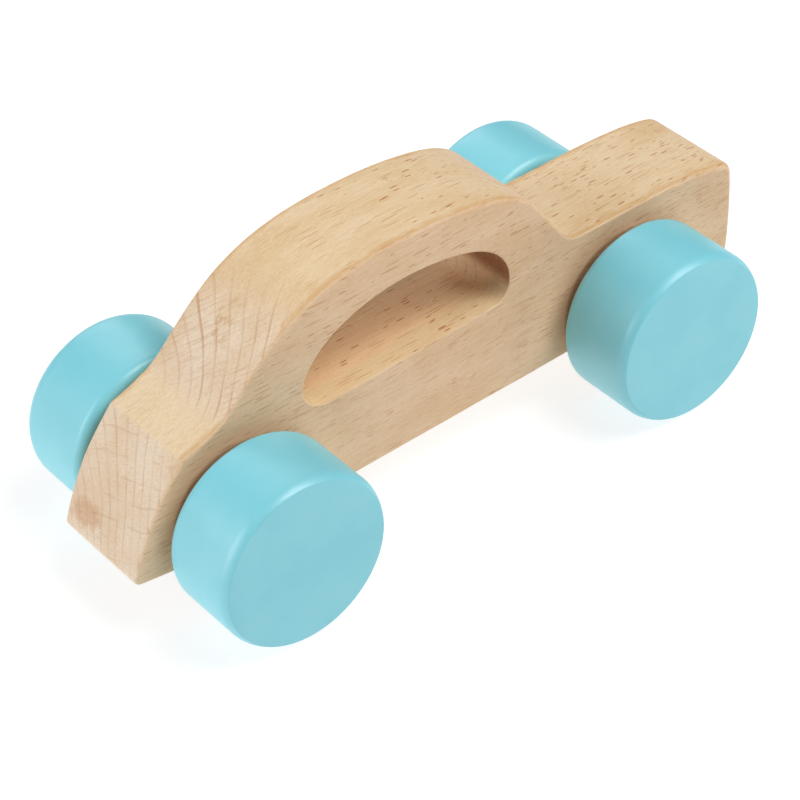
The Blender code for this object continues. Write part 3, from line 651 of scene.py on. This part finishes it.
def rings_along_edge(points, outward):
    """Closed rings of (x, y, z) from the left face round the left edge, across and round the right edge."""
    rings = [[] for _ in range(2 * ROUND_RINGS + 2)]
    count = len(points)
    for i, (place, edge) in enumerate(points):
        before, after = points[i - 1][0], points[(i + 1) % count][0]
        along = (after - before).normalized()
        normal = Vector((-along.y, along.x)) * outward
        edge *= 1.0 + EDGE_WANDER * noise.noise(Vector((place.x, place.y, 0.0)) / EDGE_WANDER_LENGTH)
        for k in range(ROUND_RINGS + 1):
            angle = pi / 2 * (1 - k / ROUND_RINGS)
            flat = place - normal * edge * (1 - cos(angle))
            y = HALF_WIDTH - edge * (1 - sin(angle))
            rings[k].append(Vector((flat.x, y, flat.y)))
            rings[-1 - k].append(Vector((flat.x, -y, flat.y)))
    return rings


def add_rings(shape, rings):
    """Skins neighbouring rings with quads, and returns the edges of the first and the last ring."""
    made = [[shape.verts.new(p * MM) for p in ring] for ring in rings]
    ends = []
    for ring in (made[0], made[-1]):
        ends.append([shape.edges.new((v, ring[(i + 1) % len(ring)])) for i, v in enumerate(ring)])
    for ring, following in zip(made, made[1:]):
        for i in range(len(ring)):
            j = (i + 1) % len(ring)
            shape.faces.new((ring[i], ring[j], following[j], following[i])).smooth = True
    return ends


def body_solid():
    """The body without its pocket and bores, between the outline and the grip opening."""
    shape = bmesh.new()
    outer = add_rings(shape, rings_along_edge(outline_points(body_knots()), 1.0))
    inner = add_rings(shape, rings_along_edge(outline_points(grip_knots()), -1.0))
    for rim, hole in zip(outer, inner):
        bmesh.ops.triangle_fill(shape, use_beauty=True, edges=rim + hole)
    bmesh.ops.recalc_face_normals(shape, faces=shape.faces)
    return shape


def link_shape(name, shape):
    """An object that isn't a piece: a tool for carving, or the floor."""
    mesh = bpy.data.meshes.new(name)
    shape.to_mesh(mesh)
    shape.free()
    obj = bpy.data.objects.new(name, mesh)
    bpy.context.scene.collection.objects.link(obj)
    return obj


def box_shape(low, high):
    shape = bmesh.new()
    bmesh.ops.create_cube(shape, size=1.0)
    bmesh.ops.scale(shape, vec=(Vector(high) - Vector(low)) * MM, verts=shape.verts)
    bmesh.ops.translate(shape, vec=(Vector(high) + Vector(low)) / 2 * MM, verts=shape.verts)
    return shape


def rod_shape(centre, radius, length, axis, steps):
    shape = bmesh.new()
    bmesh.ops.create_cone(
        shape, cap_ends=True, segments=steps, radius1=radius * MM, radius2=radius * MM, depth=length * MM
    )
    if axis == "Y":
        bmesh.ops.rotate(shape, matrix=Matrix.Rotation(pi / 2, 3, "X"), verts=shape.verts)
    bmesh.ops.translate(shape, vec=Vector(centre) * MM, verts=shape.verts)
    return shape


def carve(obj, *shapes):
    """Cuts the shapes out of the piece for good."""
    tools = [link_shape(f"cutter_{i}", shape) for i, shape in enumerate(shapes)]
    for tool in tools:
        modifier = obj.modifiers.new(tool.name, "BOOLEAN")
        modifier.operation = "DIFFERENCE"
        modifier.solver = "EXACT"
        modifier.object = tool
    bpy.context.view_layer.update()
    made = bpy.data.meshes.new_from_object(obj.evaluated_get(bpy.context.evaluated_depsgraph_get()))
    obj.modifiers.clear()
    obj.data = made
    for tool in tools:
        bpy.data.objects.remove(tool)


GAP = 0.3
PILOT_RADIUS = 1.2
PILOT_STEPS = 32
REAR_BORE_RADIUS = 2.5
FRONT_BORE_RADIUS = 3.0
BORE_STEPS = 64
PAST_BOTH_SIDES = 40.0
PAST_BELLY = 5.0
EAR_HALF_WIDTH = 5.5
EAR_TOP_Z = 16.0


def pilot_holes():
    """The holes that the motor's two screws are driven into."""
    holes = []
    for end in ("rear", "front"):
        low, high = node_box(f"motor_screw_{end}")
        top = high.z + GAP
        centre = ((low.x + high.x) / 2, 0.0, top / 2)
        holes.append(rod_shape(centre, PILOT_RADIUS, top, "Z", PILOT_STEPS))
    return holes


def pocket_shape(low_x, high_x, half_width, top):
    """A pocket in the belly, with a gap all round what it holds."""
    low = (low_x - GAP, -half_width - GAP, BELLY_Z - PAST_BELLY)
    return box_shape(low, (high_x + GAP, half_width + GAP, top + GAP))


def bore_shape(axle, radius):
    return rod_shape((axle[0], 0.0, axle[1]), radius, PAST_BOTH_SIDES, "Y", BORE_STEPS)


def make_body():
    body = add_piece("beech_body", body_solid(), "beech", "car", "car_body")
    case_low, case_high = node_box("motor_case_left")
    ear_low, ear_high = node_box("motor_case_right")
    carve(
        body,
        pocket_shape(case_low.x, case_high.x, case_high.y, case_high.z),
        pocket_shape(ear_low.x, ear_high.x, EAR_HALF_WIDTH, EAR_TOP_Z),
        bore_shape(REAR_AXLE, REAR_BORE_RADIUS),
        bore_shape(FRONT_AXLE, FRONT_BORE_RADIUS),
        *pilot_holes(),
    )


# Turned pieces


def arc(radius, height, size, start, end, count=10):
    angles = [radians(start + (end - start) * i / count) for i in range(count + 1)]
    return [(radius + size * cos(a), height + size * sin(a)) for a in angles]


WHEEL_STEPS = 160
SHOULDER_RADIUS = 4.0
CREASE_RADIUS = 0.4
CREASE_ANGLE = 38
INNER_EDGE_RADIUS = 2.2
WHEEL_BORE_RADIUS = 1.6
WHEEL_BORE_DEPTH = 13.0
WHEEL_BORE_CHAMFER = 0.4
# Rings on the flat faces, this far from their rims, that keep the shading of the rims off the flats
FACE_RING = 3.0
INNER_FACE_RING = 0.4
SHARP_EDGE = 18
# How far inside the inner edge's round the paint ends, and how near the outer face a facet counts as on it
PAINT_LAP = 0.3
OUTER_FACE_REACH = 0.1


def turned(profile, centre, side):
    """Turns (radius, height) points about an axle; heights grow away from the middle of the car."""
    shape = bmesh.new()
    rings = []
    angles = [2 * pi * i / WHEEL_STEPS for i in range(WHEEL_STEPS)]
    for radius, height in profile:
        if radius == 0.0:
            rings.append([shape.verts.new((0.0, height * side, 0.0))])
            continue
        rings.append([shape.verts.new((radius * cos(a), height * side, radius * sin(a))) for a in angles])
    for ring, following in zip(rings, rings[1:]):
        for i in range(WHEEL_STEPS):
            j = (i + 1) % WHEEL_STEPS
            corners = [ring[i % len(ring)], ring[j % len(ring)]]
            corners += [following[j % len(following)], following[i % len(following)]]
            face = shape.faces.new(list(dict.fromkeys(corners)))
            face.smooth = True
    bmesh.ops.recalc_face_normals(shape, faces=shape.faces)
    bmesh.ops.scale(shape, vec=(MM, MM, MM), verts=shape.verts)
    bmesh.ops.translate(shape, vec=Vector(centre) * MM, verts=shape.verts)
    return shape


def wheel_profile(radius, inner, outer):
    """From the middle of the outer face round to the bottom of the bore.

    The shoulder curves gently in, and a small round at its end makes the crease round the outer face.
    """
    turn = radians(CREASE_ANGLE)
    face_radius = radius - SHOULDER_RADIUS * (1 - cos(turn)) - CREASE_RADIUS * cos(turn)
    shoulder_end = outer - CREASE_RADIUS * (1 - sin(turn))
    shoulder_start = shoulder_end - SHOULDER_RADIUS * sin(turn)
    inner_rim = radius - INNER_EDGE_RADIUS
    return [
        (0.0, outer), (face_radius - FACE_RING, outer),
        *arc(face_radius, outer - CREASE_RADIUS, CREASE_RADIUS, 90, CREASE_ANGLE, count=5),
        *arc(radius - SHOULDER_RADIUS, shoulder_start, SHOULDER_RADIUS, CREASE_ANGLE, 0)[1:],
        (radius, (outer + inner) / 2),
        *arc(inner_rim, inner + INNER_EDGE_RADIUS, INNER_EDGE_RADIUS, 0, -90),
        (inner_rim - INNER_FACE_RING, inner),
        (WHEEL_BORE_RADIUS + WHEEL_BORE_CHAMFER, inner), (WHEEL_BORE_RADIUS, inner + WHEEL_BORE_CHAMFER),
        (WHEEL_BORE_RADIUS, inner + WHEEL_BORE_DEPTH), (0.0, inner + WHEEL_BORE_DEPTH),
    ]


def make_wheel(node, axle, body):
    """A solid wheel, painted except on its inner face and in the blind bore for its axle."""
    low, high = node_box(node)
    side = 1 if high.y > 0 else -1
    outer = max(abs(low.y), abs(high.y))
    inner = min(abs(low.y), abs(high.y))
    radius = (high.z - low.z) / 2
    shape = turned(wheel_profile(radius, inner, outer), (axle[0], 0.0, axle[1]), side)
    piece = add_piece(f"painted_{node}", shape, "turquoise_paint", body, node)
    piece.data.materials.append(MATERIALS["beech"])
    bare_radius = radius - INNER_EDGE_RADIUS - PAINT_LAP
    for face in piece.data.polygons:
        x, y, z = face.center / MM
        from_axle = Vector((x - axle[0], z - axle[1])).length
        face.material_index = int(from_axle < bare_radius and abs(y) < outer - OUTER_FACE_REACH)
    piece.data.set_sharp_from_angle(angle=radians(SHARP_EDGE))


# Studio


def add_camera():
    back = Vector((
        sin(VIEW_AZIMUTH) * cos(VIEW_ELEVATION),
        -cos(VIEW_AZIMUTH) * cos(VIEW_ELEVATION),
        sin(VIEW_ELEVATION),
    ))
    right = Vector((0.0, 0.0, 1.0)).cross(back).normalized()
    up = back.cross(right)
    turn = Matrix.Rotation(VIEW_ROLL, 3, back) @ Matrix((right, up, back)).transposed()
    camera = bpy.data.objects.new("camera", bpy.data.cameras.new("camera"))
    camera.data.lens = LENS
    camera.data.clip_start = 0.01
    camera.matrix_world = Matrix.Translation((VIEW_TARGET + back * VIEW_DISTANCE) * MM) @ turn.to_4x4()
    bpy.context.scene.collection.objects.link(camera)
    bpy.context.scene.camera = camera


def add_softbox(name, place, power):
    """A square area light that faces the car's middle."""
    light = bpy.data.lights.new(name, "AREA")
    light.shape = "SQUARE"
    light.size = SOFTBOX_SIZE_M
    light.energy = power
    obj = bpy.data.objects.new(name, light)
    obj.location = place
    obj.rotation_euler = (Vector(place) - SOFTBOX_AIM_M).to_track_quat("Z", "Y").to_euler()
    bpy.context.scene.collection.objects.link(obj)


def add_floor():
    """Pale paper that glows a little, so that it stays light beyond the softboxes' reach."""
    shape = bmesh.new()
    bmesh.ops.create_grid(shape, x_segments=1, y_segments=1, size=FLOOR_SIZE_M / 2)
    floor = link_shape("floor", shape)
    g = Graph("floor_paper")
    tooth = g.noise(g.position(), (1.5, 1.5, 1.5), detail=2.0)
    g.surface(base_color=colour(150, 150, 150), roughness=g.ramp(tooth, 0.3, 0.7, 0.8, 0.9))
    g.shader.inputs["Specular IOR Level"].default_value = 0.1
    g.shader.inputs["Emission Color"].default_value = (1.0, 1.0, 1.0, 1.0)
    g.shader.inputs["Emission Strength"].default_value = FLOOR_GLOW
    floor.data.materials.append(g.material)


def light_studio():
    """Softboxes, and a pale world beyond the floor that shows but doesn't light the car."""
    scene = bpy.context.scene
    scene.view_settings.view_transform = "Standard"
    scene.view_settings.look = "None"
    world = bpy.data.worlds.new("studio")
    world.use_nodes = True
    world.node_tree.nodes["Background"].inputs["Color"].default_value = (1.0, 1.0, 1.0, 1.0)
    world.node_tree.nodes["Background"].inputs["Strength"].default_value = FLOOR_GLOW
    scene.world = world
    for ray in ("diffuse", "glossy", "transmission", "scatter"):
        setattr(world.cycles_visibility, ray, False)
    for name, (place, power) in SOFTBOXES.items():
        add_softbox(name, place, power)


def dress_cad_nodes():
    """Gives every CAD node the material that its row in the record names."""
    for row in frame["record"]["subparts"]:
        for material_slot in frame["nodes"][row["node"]].material_slots:
            material_slot.material = MATERIALS[row["material_slot"]]


def main():
    add_camera()
    dress_cad_nodes()
    make_body()
    for hand in ("left", "right"):
        make_wheel(f"wheel_rear_{hand}", REAR_AXLE, "rear_wheels")
        make_wheel(f"wheel_front_{hand}", FRONT_AXLE, "front_wheels")
    add_floor()
    light_studio()


main()
